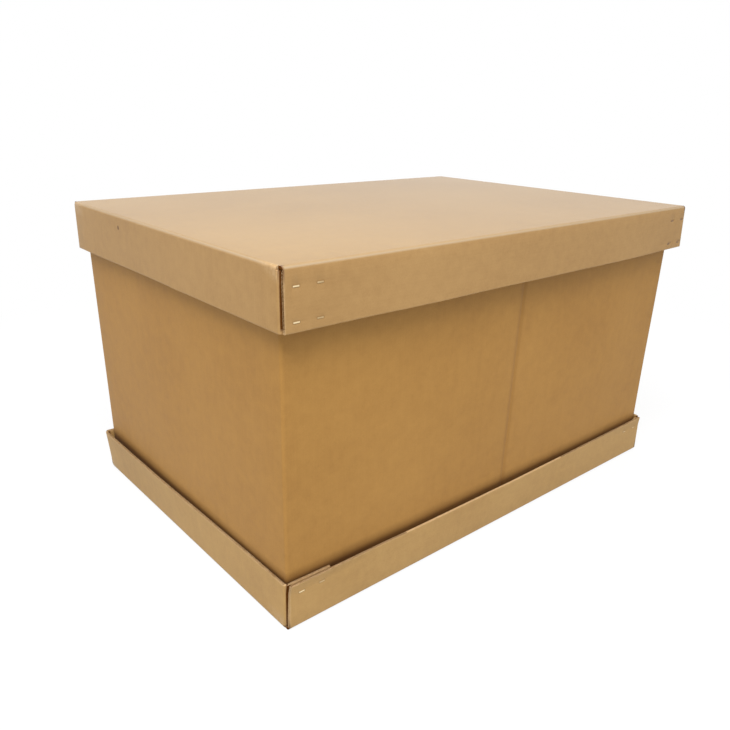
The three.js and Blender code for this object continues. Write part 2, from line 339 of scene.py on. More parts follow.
def tray_sheet(name, box, spec, cuts):
    """Outer skin of a tray, panel down at z = 0: panel, long flanges, short flanges and corner tabs."""
    half_x = (box[1].x - box[0].x) / 2
    half_y = (box[1].y - box[0].y) / 2
    tab_y = half_y - BOARD - spec["tab_gap"]
    turn_y = tab_y - FOLD_OUTSIDE
    end_x = half_x - spec["slot_at_fold"]
    low_z = BOARD + TAB_LIFT
    flange = spec["flange"]
    tall = flange + spec["tab_proud"]
    bpy.ops.mesh.primitive_plane_add(size=1)
    sheet = bpy.context.object
    sheet.name = name
    sheet.scale = (2 * half_x, 2 * half_y, 1)
    bpy.ops.object.transform_apply(location=True, rotation=True, scale=True)
    start_edit(sheet)
    slice_mesh("x", (-end_x, end_x))
    slice_mesh("y", (-tab_y, tab_y, -turn_y, turn_y))
    pick(sheet, "FACE", lambda f: is_corner(f.calc_center_median(), end_x, turn_y))
    bpy.ops.mesh.delete(type="FACE")
    pick(sheet, "EDGE", lambda e: on_line(e, abs_y=half_y, z=0))
    pull((0, 0, flange))
    pick(sheet, "EDGE", lambda e: on_line(e, abs_x=half_x, z=0))
    pull((0, 0, low_z))
    pick(sheet, "EDGE", lambda e: on_line(e, abs_x=half_x, z=low_z))
    pull((0, 0, tall - low_z))
    for side in (-1, 1):
        pick(sheet, "EDGE", lambda e: is_tall(e, low_z) and on_line(e, abs_x=half_x, y=side * turn_y))
        pull((0, side * FOLD_OUTSIDE, 0))
    for side in (-1, 1):
        pick(sheet, "EDGE", lambda e: is_tall(e, low_z) and on_line(e, x=side * half_x, abs_y=tab_y))
        pull((-side * TAB_LENGTH, 0, 0))
    slant_slots(sheet, half_x, half_y, spec)
    pick(sheet, "EDGE", lambda e: is_tray_fold(e, half_x, half_y, tab_y))
    bpy.ops.mesh.bevel(offset=FOLD_OUTSIDE, offset_type="OFFSET", segments=FOLD_STEPS, affect="EDGES")
    slice_mesh("x", spread(-half_x + END_CUTS[-1], half_x - END_CUTS[-1], 22))
    slice_mesh("x", [side * (half_x - cut) for side in (-1, 1) for cut in END_CUTS])
    slice_mesh("y", spread(-turn_y + 0.01, turn_y - 0.01, 17))
    slice_mesh("z", spread(low_z, flange, 3))
    slice_mesh("z", [flange - cut for cut in EDGE_CUTS])
    slice_mesh("x", sorted(cuts["x"]))
    slice_mesh("z", sorted(cuts["z"]))
    merge_close_points()
    end_edit()
    return sheet


def is_corner(middle, end_x, turn_y):
    """True for the corner squares that the sheet lacks."""
    return abs(middle.x) > end_x and abs(middle.y) > turn_y


def is_tall(edge, low_z):
    return edge.calc_length() > low_z * 2


def slant_slots(sheet, half_x, half_y, spec):
    """Moves the free corners of the long flanges in, so that the slots widen as the real ones do."""
    mesh = bmesh.from_edit_mesh(sheet.data)
    slant = spec["slot_at_edge"] - spec["slot_at_fold"]
    for vertex in mesh.verts:
        if near(abs(vertex.co.y), half_y) and near(vertex.co.z, spec["flange"]):
            if near(abs(vertex.co.x), half_x - spec["slot_at_fold"]):
                vertex.co.x -= math.copysign(slant, vertex.co.x)
    bmesh.update_edit_mesh(sheet.data)


def is_tray_fold(edge, half_x, half_y, tab_y):
    """True for the folds between panel and flanges, and between short flange and tab."""
    if edge.is_boundary:
        return False
    bottom = on_line(edge, abs_y=half_y, z=0) or on_line(edge, abs_x=half_x, z=0)
    corner = on_line(edge, abs_x=half_x, abs_y=tab_y)
    return bottom or corner


def sleeve_sheet(name, box):
    """Outer skin of the sleeve, pulled wall by wall from the tip of the lap round to the raw edge over it."""
    half_x, half_y = FOOT_HALF_X, FOOT_HALF_Y
    low, high = box[0].z, box[1].z
    lap_y = half_y - BOARD - LAP_GAP
    corners = [
        (half_x - LAP_LENGTH, lap_y),
        (half_x, lap_y),
        (half_x, -half_y),
        (CREASE_X, -half_y),
        (-half_x, -half_y),
        (-half_x, half_y),
        (CREASE_X, half_y),
        (half_x - LAP_EDGE, half_y),
    ]
    bpy.ops.mesh.primitive_plane_add(size=1)
    sheet = bpy.context.object
    sheet.name = name
    run = Vector(corners[1]) - Vector(corners[0])
    sheet.scale = (run.x, high - low, 1)
    sheet.rotation_euler = (math.pi / 2, 0, 0)
    sheet.location = ((corners[0][0] + corners[1][0]) / 2, lap_y, (low + high) / 2)
    bpy.ops.object.transform_apply(location=True, rotation=True, scale=True)
    start_edit(sheet)
    for here, there in zip(corners[1:], corners[2:]):
        pick(sheet, "EDGE", lambda e: on_line(e, x=here[0], y=here[1]))
        pull((there[0] - here[0], there[1] - here[1], 0))
    folds = [corners[1], corners[2], corners[4], corners[5]]
    pick(sheet, "EDGE", lambda e: any(on_line(e, x=c[0], y=c[1]) for c in folds) and not e.is_boundary)
    bpy.ops.mesh.bevel(offset=FOLD_OUTSIDE, offset_type="OFFSET", segments=FOLD_STEPS, affect="EDGES")
    slice_mesh("x", [CREASE_X - cut for cut in reversed(CREASE_CUTS)])
    slice_mesh("x", [CREASE_X + cut for cut in CREASE_CUTS])
    slice_mesh("x", spread(-half_x + 0.02, CREASE_X - 0.04, 9))
    slice_mesh("x", spread(CREASE_X + 0.04, half_x - 0.02, 9))
    slice_mesh("x", (-half_x + 0.012, half_x - 0.012))
    slice_mesh("y", spread(-half_y + 0.02, half_y - 0.02, 12))
    slice_mesh("z", spread(low, high, 17))
    slice_mesh("z", (FOOT_DARK_LOW, BASE[1].z, FOOT_DARK_HIGH))
    merge_close_points()
    end_edit()
    return sheet


def outward(piece, faces_out):
    """Turns the skin's faces so that they look out, by the place of one face."""
    start_edit(piece, "FACE")
    bpy.ops.mesh.select_all(action="SELECT")
    bpy.ops.mesh.normals_make_consistent(inside=False)
    end_edit()
    if not faces_out(piece.data.polygons):
        piece.data.flip_normals()


def move_points(piece, rule):
    """Moves every vertex of a skin by a rule of its own place."""
    for vertex in piece.data.vertices:
        vertex.co += Vector(rule(vertex.co))
    piece.data.update()


def ripple(point, scale, seed):
    """Smooth noise from -1 to 1 at a scale in metres."""
    return noise.noise(Vector(point) / scale + Vector((seed, seed * 1.7, seed * 0.6)))


def uneven(point, wave):
    """How far a board lies off its plane at a place."""
    swing, length, seed = wave
    return swing * ripple(point, length, seed)


def thicken(piece):
    """Gives a skin the board's thickness inwards, with its raw edges in a slot of their own."""
    make_active(piece)
    inner = piece.vertex_groups.new(name="inner_liner")
    solid = piece.modifiers.new("board", "SOLIDIFY")
    solid.thickness = BOARD
    solid.offset = -1
    solid.use_even_offset = True
    solid.use_quality_normals = True
    solid.use_rim = True
    solid.material_offset_rim = RAW_SLOT
    solid.shell_vertex_group = inner.name
    bpy.ops.object.modifier_apply(modifier=solid.name)


def soften_cuts(piece):
    """Rounds the sharp corners along the raw edges."""
    make_active(piece)
    bevel = piece.modifiers.new("cut_edges", "BEVEL")
    bevel.limit_method = "ANGLE"
    bevel.angle_limit = CUT_CORNER
    bevel.width = CUT_ROUNDING
    bevel.segments = 2
    bpy.ops.object.modifier_apply(modifier=bevel.name)


def lay_grain(piece, across):
    """UV map of the sheet: U along the flutes, V across them, both in metres."""
    mesh = piece.data
    layer = mesh.uv_layers.new(name="sheet")
    for face in mesh.polygons:
        for loop in face.loop_indices:
            point = mesh.vertices[mesh.loops[loop].vertex_index].co
            layer.data[loop].uv = across(point, face.normal)


def tray_grain(point, normal, half_y):
    """The flutes run along X in the panel and the long flanges, and upwards in the short flanges and tabs."""
    tab = abs(point.y) < half_y - BOARD
    if abs(normal.y) > max(abs(normal.x), abs(normal.z)):
        return (point.z, point.x) if tab else (point.x, point.z)
    if abs(normal.x) > abs(normal.z):
        return point.z, point.y
    return point.x, point.y


def sleeve_grain(point, normal):
    """The flutes run upwards in all walls."""
    if abs(normal.y) > abs(normal.x):
        return point.z, point.x
    return point.z, point.y


def cross_edges(face, inner):
    """The edges of a rim face that cross the board, from its outer to its inner skin."""
    return [e for e in face.edges if (e.verts[0] in inner) != (e.verts[1] in inner)]


def raw_edge_runs(piece):
    """Straight runs of the raw edge: lists of (outer point, inner point, direction out of the board)."""
    mesh = bmesh.new()
    mesh.from_mesh(piece.data)
    mesh.faces.index_update()
    group = piece.vertex_groups["inner_liner"].index
    weights = mesh.verts.layers.deform.active
    inner = {v for v in mesh.verts if v[weights].get(group, 0) > 0.5}
    left = {f for f in mesh.faces if f.material_index == RAW_SLOT}
    runs = []
    while left:
        face = min(left, key=lambda f: f.index)
        edge = cross_edges(face, inner)[0]
        ring = []
        while face in left:
            left.remove(face)
            outer = [v for v in edge.verts if v not in inner][0]
            ring.append((outer.co.copy(), edge.other_vert(outer).co.copy(), face.normal.copy()))
            edge = [e for e in cross_edges(face, inner) if e != edge][0]
            face = [f for f in edge.link_faces if f != face][0]
        runs += split_ring(ring)
    mesh.free()
    return runs


def split_ring(ring):
    """Cuts a closed ring of sections at its corners."""
    count = len(ring)
    ways = [ring[(i + 1) % count][0] - ring[i][0] for i in range(count)]
    turns = [i for i in range(count) if ring[i][2].angle(ring[i - 1][2]) > STRAIGHT
             or ways[i].angle(ways[i - 1]) > STRAIGHT]
    runs = []
    for here, there in zip(turns, turns[1:] + [turns[0] + count]):
        run = [ring[i % count] for i in range(here, there)]
        last = ring[there % count]
        run.append((last[0], last[1], run[-1][2]))
        if (run[-1][0] - run[0][0]).length > SHORT_RUN:
            runs.append(run)
    return runs


def along_run(run, count, margin):
    """Sections at even steps along a run, short of its ends by a margin."""
    lengths = [0.0]
    for here, there in zip(run, run[1:]):
        lengths.append(lengths[-1] + (there[0] - here[0]).length)
    sections = []
    part = 0
    for i in range(count + 1):
        place = margin + (lengths[-1] - 2 * margin) * i / count
        while part < len(run) - 2 and lengths[part + 1] < place:
            part += 1
        share = min(1.0, (place - lengths[part]) / max(1e-6, lengths[part + 1] - lengths[part]))
        here, there = run[part], run[part + 1]
        outer = here[0].lerp(there[0], share)
        sections.append((place, outer, here[1].lerp(there[1], share) - outer, here[2]))
    return sections


def add_ribbon(points, faces, run, paper, depth, crossing):
    """Adds one wavy paper of the board, as seen in a raw edge, to lists of points and faces."""
    middle, swing, pitch, steps = paper
    length = (run[-1][0] - run[0][0]).length
    if not crossing:
        pitch *= 90
    count = max(8, round(length / pitch * steps))
    phase = 17 * run[0][0].x + 29 * run[0][0].y
    first = len(points)
    for place, outer, across, out in along_run(run, count, RIBBON_MARGIN):
        share = middle + swing * math.sin(2 * math.pi * place / pitch + phase)
        front = outer + across * share - out * EDGE_RECESS
        points += [front, front - out * depth]
    for i in range(first, len(points) - 2, 2):
        faces.append((i, i + 1, i + 3, i + 2))


def build_flutes(name, runs, depth_rule, crossing_rule):
    """The fluted papers and the middle liner inside the raw edges, as thin folded sheets."""
    points = []
    faces = []
    for run in runs:
        depth = depth_rule(run)
        if depth:
            for paper in (FINE_FLUTE, MIDDLE_LINER, COARSE_FLUTE):
                add_ribbon(points, faces, run, paper, depth - EDGE_RECESS, crossing_rule(run))
    mesh = bpy.data.meshes.new(name)
    mesh.from_pydata([tuple(p) for p in points], [], faces)
    flutes = bpy.data.objects.new(name, mesh)
    bpy.context.scene.collection.objects.link(flutes)
    make_active(flutes)
    solid = flutes.modifiers.new("paper", "SOLIDIFY")
    solid.thickness = PAPER
    solid.offset = 0
    bpy.ops.object.modifier_apply(modifier=solid.name)
    return flutes


def open_raw_edges(piece, runs, depth_rule):
    """Sinks the raw edge between the liners of each long run, to make room for the flutes."""
    start_edit(piece, "FACE")
    for run in runs:
        depth = depth_rule(run)
        if depth:
            pick(piece, "FACE", lambda f: f.material_index == RAW_SLOT and on_run(f, run))
            bpy.ops.mesh.inset(thickness=LINER_LIP, depth=0, use_even_offset=False)
            bpy.ops.mesh.extrude_region_move(TRANSFORM_OT_translate={"value": mean_way_out(run) * -depth})
    end_edit()


def mean_way_out(run):
    return sum((section[2] for section in run), Vector()).normalized()


def on_run(face, run):
    """True for a face of the raw edge that lies between the ends of a run and looks its way."""
    middle = face.calc_center_median()
    here = (run[0][0] + run[0][1]) / 2
    way = (run[-1][0] + run[-1][1]) / 2 - here
    share = (middle - here).dot(way) / way.length_squared
    beside = (middle - here - way * share).length
    return 0 < share < 1 and beside < BOARD and face.normal.dot(mean_way_out(run)) > 0.96


def build_tray(node, place, shape_rule, face_material, cut_material):
    """A whole tray board, finished and in its place."""
    spec = TRAYS[node]
    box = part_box(node)
    boxes = stitch_boxes(node)
    board = tray_sheet(f"{node}_board", box, spec, stitch_cuts(node, boxes))
    outward(board, lambda faces: min(faces, key=lambda f: f.center.z).normal.z < 0)
    lay_grain(board, lambda point, normal: tray_grain(point, normal, box[1].y))
    board.data.transform(place)
    panel_z = box[1].z if node == "lid" else box[0].z
    # Painted shade in the slots, in the bottom corners and round the stitches
    mark_places(board, "painted_shade", lambda point: tray_painted_shade(
        point, box[1].x, box[1].y, spec, abs(point.z - panel_z), boxes))
    move_points(board, lambda point: shape_rule(point, pressed_by(point, boxes, box[1].y)))

    def depth_rule(run):
        upright = abs((run[-1][0] - run[0][0]).normalized().z) > 0.9
        return spec["end_depth"] if upright else CRUSHED_DEPTH

    def crossing_rule(run):
        way = (run[-1][0] - run[0][0]).normalized()
        on_flange = abs(run[0][0].y) > box[1].y - BOARD / 2
        return abs(way.y) > 0.9 or (abs(way.z) > 0.9 and on_flange) or (abs(way.x) > 0.9 and not on_flange)

    finish_board(board, face_material, cut_material, depth_rule, crossing_rule, spec["shaded_flange_ends"])
    return board


def bow(value, half):
    """1 in the middle of a span and 0 at its ends."""
    return max(0.0, 1 - (value / half) ** 2)


def ramp_up(value, low, high):
    """Smooth step from 0 at low to 1 at high."""
    share = min(1.0, max(0.0, (value - low) / (high - low)))
    return share * share * (3 - 2 * share)


def lid_shape(point, pressed):
    """Sag of the panel, slack of the flanges and the wavy edge of the lid. Its right end has sprung out."""
    half_x, half_y = LID[1].x, LID[1].y
    depth = (LID[1].z - point.z) / (LID[1].z - LID[0].z)
    from_end = half_x - abs(point.x)
    sag = LID_SAG * bow(point.x, half_x) * bow(point.y, half_y) * (1 - depth)
    wave = uneven(point, LID_WAVE) * depth + uneven(point, LID_SMALL_WAVE) * depth
    sprung = ramp_up(point.x, half_x - LID_SPRUNG_LENGTH, half_x) * depth
    slack_x = 0.0
    slack_y = 0.0
    if from_end < NEAR_END:
        slack_x = math.copysign(depth * depth, point.x) * uneven(point, LID_END_WAVE)
    if abs(point.y) > half_y - NEAR_LONG_SIDE:
        slack_y = LID_SLACK * bow(point.x, half_x) + uneven(point, LID_SIDE_WAVE)
        slack_y *= math.copysign(depth, point.y) * ramp_up(from_end, *STITCHED_REACH)
    if pressed:
        slack_y -= math.copysign(STITCH_DENT, point.y)
    return slack_x + LID_SPRING * sprung, slack_y, wave + LID_LIFT * sprung - sag


def base_shape(point, pressed):
    """Slack of the flanges and the low free edge of the base tray. Its short flanges lean."""
    half_x, half_y = BASE[1].x, BASE[1].y
    rise = max(0.0, point.z / BASE[1].z)
    from_end = half_x - abs(point.x)
    top_share = max(0.0, (rise - BASE_LOW_FROM) / (1 - BASE_LOW_FROM))
    wave = uneven(point, BASE_WAVE) * rise + uneven(point, BASE_SMALL_WAVE) * rise
    wave -= top_share * base_low(point, half_x, half_y)
    far_left = ramp_up(-point.x, half_x - BASE_TUCK_LENGTH, half_x) * ramp_up(point.y, -half_y, half_y)
    tuck = BASE_TUCK * ramp_up(point.x, half_x - BASE_TUCK_LENGTH, half_x) * (1 - rise)
    lean = -BASE_LEAN * far_left * rise - tuck
    slack_x = 0.0
    slack_y = 0.0
    if from_end < NEAR_END:
        slack_x = BASE_END_SLACK * bow(point.y, half_y) + uneven(point, BASE_END_WAVE)
        slack_x *= math.copysign(rise, point.x)
    if abs(point.y) > half_y - NEAR_LONG_SIDE:
        loose = ramp_up(from_end, *STITCHED_REACH)
        slack_y = BASE_SLACK * bow(point.x, half_x) + uneven(point, BASE_SIDE_WAVE)
        slack_y *= math.copysign(rise, point.y)
        slack_y *= loose
        gape = math.copysign(BASE_GAPE, point.y) * ramp_up(rise, BASE_GAPE_FROM, 1.0)
        slack_y += gape * (1 - loose)
    if point.x > 0 and half_y - TAB_PLACE[1] < abs(point.y) < half_y - TAB_PLACE[0]:
        wave -= TAB_DROP * top_share * ramp_up(from_end, *TAB_DROP_REACH)
    if pressed:
        slack_y -= math.copysign(STITCH_DENT, point.y)
    return slack_x + lean, slack_y, wave


def base_low(point, half_x, half_y):
    """How much lower than in the CAD the base tray's upper edge lies at a place."""
    near_side = 0.5 - point.y / (2 * half_y)
    right = 0.5 + point.x / (2 * half_x)
    low = BASE_LOW_NEAR + (BASE_LOW_RIGHT - BASE_LOW_NEAR) * right
    low += BASE_LOW_MIDDLE * bow(point.x, half_x)
    return near_side * low + (1 - near_side) * BASE_LOW_FAR


def sleeve_shape(point):
    """Lean of the walls, the slanting creases and the slack of the long panels."""
    rise = (point.z - SLEEVE[0].z) / (SLEEVE[1].z - SLEEVE[0].z)
    spread_out = SLEEVE[1].y - FOOT_HALF_Y
    from_crease = abs(point.x - CREASE_X)
    beside = from_crease / CREASE_SHARE
    side_x = CREASE_SLANT * max(0.0, 1 - beside) + spread_out * math.copysign(min(1, beside), point.x)
    side_y = math.copysign(1, point.y)
    middle = bow(rise - 0.5, 0.5)
    dip = 0.0
    slack_y = 0.0
    slack_x = 0.0
    if abs(point.y) > FOOT_HALF_Y - NEAR_LONG_SIDE:
        dip = CREASE_DEPTH * max(0.0, 1 - from_crease / CREASE_HALF)
        panel = bow(from_crease - PANEL_HALF, PANEL_HALF)
        slack_y = (SLEEVE_SLACK * panel + uneven(point, SLEEVE_SIDE_WAVE)) * middle
    elif abs(point.x) > FOOT_HALF_X - 0.001:
        slack_x = (SLEEVE_SLACK * bow(point.y, FOOT_HALF_Y) + uneven(point, SLEEVE_END_WAVE)) * middle
    move_x = rise * side_x + math.copysign(slack_x, point.x)
    move_y = side_y * (rise * spread_out + slack_y - dip)
    return move_x, move_y, 0.0


def foot_painted_shade(point):
    """How much painted shade the sleeve takes where it goes down into the base tray: most at the near corner.
    """
    at_corner = ramp_up(-point.x - point.y, 0.62, 0.95)
    soft = (0.55 + 0.2 * at_corner) * (1 - ramp_up(point.z, FOOT_DARK_LOW, FOOT_DARK_HIGH))
    return soft + 0.25 * (1 - ramp_up(point.z, FOOT_DARK_LOW, BASE[1].z))


def build_sleeve(face_material, cut_material):
    """The whole sleeve, finished and in its place."""
    board = sleeve_sheet("sleeve_board", SLEEVE)
    outward(board, lambda faces: max(faces, key=lambda f: f.center.x).normal.x > 0)
    lay_grain(board, sleeve_grain)
    # Painted shade along the sleeve's crease
    mark_places(board, "crease", lambda point: float(abs(point.x - CREASE_X) < CREASE_HALF))
    # Painted shade where the sleeve goes down into the base tray
    mark_places(board, "painted_shade", foot_painted_shade)
    move_points(board, sleeve_shape)

    def upright(run):
        return abs((run[-1][0] - run[0][0]).normalized().z) > 0.9

    def depth_rule(run):
        at_foot = run[0][0].z < SLEEVE[0].z + 0.01 and not upright(run)
        return 0 if at_foot else CRUSHED_DEPTH

    finish_board(board, face_material, cut_material, depth_rule, lambda run: not upright(run))
    return board


def mark_places(piece, name, rule):
    """A vertex group whose weight at each vertex follows a rule of its place, before the skin is warped."""
    group = piece.vertex_groups.new(name=name)
    for vertex in piece.data.vertices:
        weight = rule(vertex.co)
        if weight:
            group.add([vertex.index], weight, "REPLACE")


def stitch_boxes(node):
    """The boxes of the stitches of a tray."""
    return [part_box(name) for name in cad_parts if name.startswith(STITCHES[node])]


def pressed_by(point, boxes, side_y):
    """True on the outer face of a long flange, right round one of its stitches."""
    rim = STITCH_RIM * 1.5
    if abs(point.y) < side_y - 0.004:
        return False
    for low, high in boxes:
        beside_x = low.x - rim < point.x < high.x + rim
        beside_z = low.z - rim < point.z < high.z + rim
        if beside_x and beside_z and low.y - 0.01 < point.y < high.y + 0.01:
            return True
    return False


def tray_painted_shade(point, half_x, half_y, spec, rise, boxes):
    """How much painted shade a place takes: in the slots, at their closed ends and round the stitches."""
    tab_y = half_y - BOARD - spec["tab_gap"]
    if abs(point.x) > half_x - SLOT_REACH and tab_y - SLOT_BAND[0] < abs(point.y) < tab_y + SLOT_BAND[1]:
        closed = 0
        if spec["shaded_flange_ends"]:
            closed = ramp_up(rise, spec["flange"] - EDGE_CUTS[1], spec["flange"] - 0.004)
        deep = 1.0 if abs(point.y) > tab_y - SLOT_BAND[1] else 0.6
        return deep * (1 - closed)
    if rise < 0.009 and abs(point.x) > half_x - 0.008 and abs(point.y) > half_y - 0.008:
        return 1.0
    return 0.3 if pressed_by(point, boxes, half_y) else 0.0


def finish_board(board, face_material, cut_material, depth_rule, crossing_rule, shaded_flange_ends=None):
    """Thickness, liners, raw edges with their flutes, and marks of wear, painted sheen and painted shade of a
    folded skin.

    It is None for a board without slots, else whether the raw ends facing along the tray take painted shade.
    """
    board.data.materials.append(face_material)
    board.data.materials.append(cut_material)
    # The slots' painted shade material
    board.data.materials.append(slot_shade_material("slot_painted_shade"))
    thicken(board)
    runs = raw_edge_runs(board)
    soften_cuts(board)
    mark_edges(board)
    open_raw_edges(board, runs, depth_rule)
    flutes = build_flutes(f"{board.name}_flutes", runs, depth_rule, crossing_rule)
    flutes.data.materials.append(cut_material)
    make_active(board)
    flutes.select_set(True)
    bpy.ops.object.join()
    if shaded_flange_ends is not None:
        paint_slot_shade(board, shaded_flange_ends)
    bpy.ops.object.shade_smooth_by_angle(angle=SMOOTH_BELOW)


def group_weights(piece, name):
    """The weight of a vertex group at every vertex, 0 where the piece has no such group."""
    group = piece.vertex_groups.get(name)
    if not group:
        return [0.0] * len(piece.data.vertices)
    return [sum(g.weight for g in v.groups if g.group == group.index) for v in piece.data.vertices]


def lay_lit_top(piece, material):
    """The panel on top takes a lit copy of the lid's liner, as far as the turn of its folds: the same sheet
    in another colour with more sheen, a painted sheen that makes the top read paler than the flanges.
    """
    piece.data.materials.append(material)
    for face in piece.data.polygons:
        if face.material_index == 0 and face.normal.z > LEVEL and face.center.z > LID[1].z - BOARD / 2:
            face.material_index = LIT_TOP_SLOT


def paint_slot_shade(piece, wear_and_end_shade):
    """The folds deep inside the slots take the slots' painted shade material, and when the second argument is
    set so do the raw ends that face along the tray, above a set height.
    """
    deep = group_weights(piece, "painted_shade")
    for face in piece.data.polygons:
        looks_along = face.material_index == RAW_SLOT and abs(face.normal.x) > 0.9
        raw_end = looks_along and face.center.z > SHADED_ENDS_ABOVE
        if min(deep[v] for v in face.vertices) > DEEP_MARK or (wear_and_end_shade and raw_end):
            face.material_index = SHADE_SLOT


def grow(points, pairs):
    """A set of vertices with those that short edges join to it."""
    return points | {v for pair in pairs if points & set(pair) for v in pair}


def mark_edges(piece):
    """Attributes of the marked places: cut for the wear on raw edges, fold for the pale rub and painted sheen
    on folds, crease for the painted shade in the sleeve's creases, and the painted shade mark for the slots,
    the trays' bottom corners, the stitches and the sleeve's foot in the base tray."""
    mesh = piece.data
    rim = [face for face in mesh.polygons if face.material_index == RAW_SLOT]
    cut = {v for face in rim for v in face.vertices}
    ends = {v for face in rim if face.normal.z > -0.5 for v in face.vertices}
    places = [v.co for v in mesh.vertices]
    pairs = [tuple(edge.vertices) for edge in mesh.edges]
    short = [pair for pair in pairs if (places[pair[0]] - places[pair[1]]).length < SHORT_EDGE]
    for _ in range(2):
        cut = grow(cut, short)
        ends = grow(ends, short)
    cut_mark = []
    fold_mark = []
    for i, vertex in enumerate(mesh.vertices):
        slant = 1 - max(abs(part) for part in vertex.normal)
        flat = i in cut or abs(vertex.normal.z) < 0.1
        cut_mark.append(1.0 if i in ends else 0.15 if i in cut else 0.0)
        fold_mark.append(0.0 if flat else min(1.0, slant / 0.12))
    marks = {
        "cut": cut_mark,
        "fold": fold_mark,
        "crease": group_weights(piece, "crease"),
        "painted_shade": group_weights(piece, "painted_shade"),
    }
    for name, values in marks.items():
        layer = mesh.attributes.new(f"{name}_mark", "FLOAT", "POINT")
        layer.data.foreach_set("value", values)


def new_group(name, inputs, outputs):
    """A shader node group with named inputs, each (kind, name, value), and outputs."""
    group = bpy.data.node_groups.new(name, "ShaderNodeTree")
    for kind, label, value in inputs:
        socket = group.interface.new_socket(label, in_out="INPUT", socket_type=f"NodeSocket{kind}")
        if value is not None:
            socket.default_value = value
    for kind, label in outputs:
        group.interface.new_socket(label, in_out="OUTPUT", socket_type=f"NodeSocket{kind}")
    return group, group.nodes.new("NodeGroupInput"), group.nodes.new("NodeGroupOutput")


class Wiring:
    """Short ways to add and join shader nodes in one tree."""

    def __init__(self, tree):
        self.tree = tree

    def add(self, kind, **settings):
        node = self.tree.nodes.new(kind)
        for key, value in settings.items():
            setattr(node, key, value)
        return node

    def join(self, source, target):
        self.tree.links.new(source, target)

    def feed(self, socket, value):
        if isinstance(value, bpy.types.NodeSocket):
            self.join(value, socket)
        else:
            socket.default_value = value

    def math(self, operation, *values, clamp=False):
        node = self.add("ShaderNodeMath", operation=operation, use_clamp=clamp)
        for socket, value in zip(node.inputs, values):
            self.feed(socket, value)
        return node.outputs[0]

    def noise(self, vector, scale, detail, roughness=0.55):
        node = self.add("ShaderNodeTexNoise")
        self.feed(node.inputs["Vector"], vector)
        self.feed(node.inputs["Scale"], scale)
        node.inputs["Detail"].default_value = detail
        node.inputs["Roughness"].default_value = roughness
        return node.outputs["Fac"]

    def stretch(self, vector, scale):
        node = self.add("ShaderNodeMapping")
        self.feed(node.inputs["Vector"], vector)
        node.inputs["Scale"].default_value = scale
        return node.outputs["Vector"]

    def ramp(self, factor, stops):
        node = self.add("ShaderNodeValToRGB")
        self.join(factor, node.inputs["Fac"])
        elements = node.color_ramp.elements
        while len(elements) < len(stops):
            elements.new(0.5)
        for element, (place, colour) in zip(elements, stops):
            element.position = place
            element.color = colour
        return node.outputs["Color"]

    def bump(self, height, strength, distance, shader):
        node = self.add("ShaderNodeBump")
        node.inputs["Strength"].default_value = strength
        node.inputs["Distance"].default_value = distance
        self.join(height, node.inputs["Height"])
        self.join(node.outputs["Normal"], shader.inputs["Normal"])

    def blend(self, factor, first, second, kind="MIX"):
        node = self.add("ShaderNodeMix", data_type="RGBA", blend_type=kind)
        self.feed(node.inputs[0], factor)
        self.feed(node.inputs[6], first)
        self.feed(node.inputs[7], second)
        return node.outputs[2]


